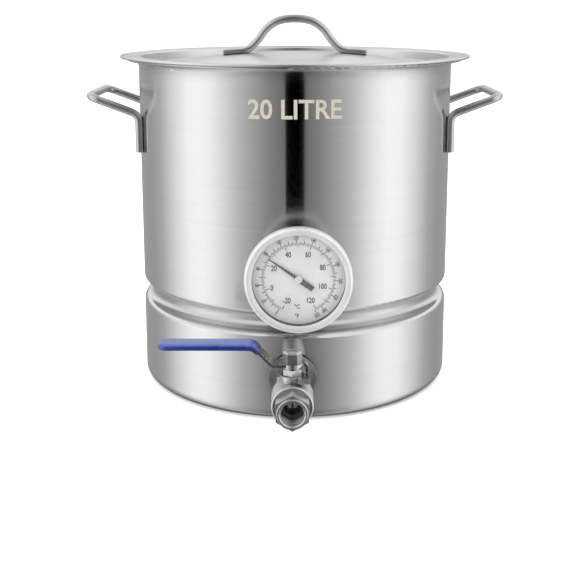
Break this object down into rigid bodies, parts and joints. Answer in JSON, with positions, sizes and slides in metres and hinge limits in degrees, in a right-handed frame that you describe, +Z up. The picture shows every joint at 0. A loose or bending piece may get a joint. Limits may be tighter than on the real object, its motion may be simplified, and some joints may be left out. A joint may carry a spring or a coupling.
{
  "type": "brew kettle",
  "caption": "Lidded stainless brewing kettle with a ledge groove, dial thermometer, ball valve with a blue lever, false bottom with bail and a filter tube inside.",
  "frame": {"origin": "on the pot's axis at the underside of its base", "axes": "+Z up, -Y towards the side with the thermometer and the valve, +X to the right of someone who faces them"},
  "size_m": [0.3944, 0.408, 0.3544],
  "materials": {
    "pot_steel": "satin brushed stainless steel",
    "handle_steel": "satin stainless rod",
    "lid_steel": "spun stainless steel with a bright rolled edge",
    "fitting_steel": "turned stainless steel",
    "cast_steel": "satin investment-cast stainless steel",
    "bright_steel": "polished stainless steel",
    "mesh_steel": "woven stainless wire",
    "dial_white": "printed off-white enamel",
    "window_glass": "clear glass",
    "needle_grey": "dark grey enamel",
    "seal_orange": "orange-red silicone",
    "gasket_black": "black rubber",
    "ptfe_white": "white sealing plastic",
    "grip_blue": "dipped blue vinyl"
  },
  "bodies": {
    "kettle": {"pot_shell": "pot_steel", "handle_left": "handle_steel", "handle_right": "handle_steel", "thermometer_case": "fitting_steel", "thermometer_bezel": "bright_steel", "thermometer_window": "window_glass", "thermometer_gasket": "gasket_black", "thermometer_dial": "dial_white", "thermometer_fitting": "fitting_steel", "thermometer_probe": "bright_steel", "thermometer_seal_outer": "seal_orange", "thermometer_seal_inner": "seal_orange", "thermometer_washer": "fitting_steel", "thermometer_locknut": "fitting_steel", "bulkhead_nipple": "fitting_steel", "bulkhead_washer_outer": "fitting_steel", "bulkhead_seal_outer": "seal_orange", "bulkhead_seal_inner": "seal_orange", "bulkhead_washer_inner": "fitting_steel", "bulkhead_locknut": "fitting_steel", "valve_body": "cast_steel", "valve_end_cap": "cast_steel", "valve_seats": "ptfe_white", "valve_packing": "ptfe_white", "valve_gland_nut": "fitting_steel", "filter_coupling": "fitting_steel", "filter_collar": "fitting_steel", "filter_tube": "mesh_steel", "filter_crimp": "fitting_steel"},
    "lid": {"lid_shell": "lid_steel", "lid_handle": "handle_steel"},
    "lever": {"valve_ball": "bright_steel", "valve_stem": "fitting_steel", "valve_lever": "fitting_steel", "lever_grip": "grip_blue", "lever_washer": "bright_steel", "lever_nut": "bright_steel"},
    "pointer": {"pointer_needle": "needle_grey", "pointer_cap": "bright_steel", "pointer_spindle": "bright_steel"},
    "false_bottom": {"screen_mesh": "mesh_steel", "screen_ring": "handle_steel", "clip_right": "fitting_steel", "clip_left": "fitting_steel"},
    "bail": {"screen_bail": "handle_steel"}
  },
  "joints": [
    {"name": "lid_lift", "type": "slide", "parent": "kettle", "child": "lid", "axis": [0, 0, 1], "range_m": [0, 0.15]},
    {"name": "lever_turn", "type": "hinge", "parent": "kettle", "child": "lever", "pos_m": [-0.002, -0.206, 0.042], "axis": [0, 0, 1], "range_deg": [0, 90]},
    {"name": "pointer_turn", "type": "hinge", "parent": "kettle", "child": "pointer", "pos_m": [0.0031, -0.1745, 0.1367], "axis": [0, 1, 0], "range_deg": [-98, 206], "stiffness_Nm_per_rad": 0.002},
    {"name": "screen_lift", "type": "slide", "parent": "kettle", "child": "false_bottom", "axis": [0, 0, 1], "range_m": [0, 0.015]},
    {"name": "bail_turn", "type": "hinge", "parent": "false_bottom", "child": "bail", "pos_m": [0, 0, 0.10195], "axis": [1, 0, 0], "range_deg": [0, 90]}
  ]
}
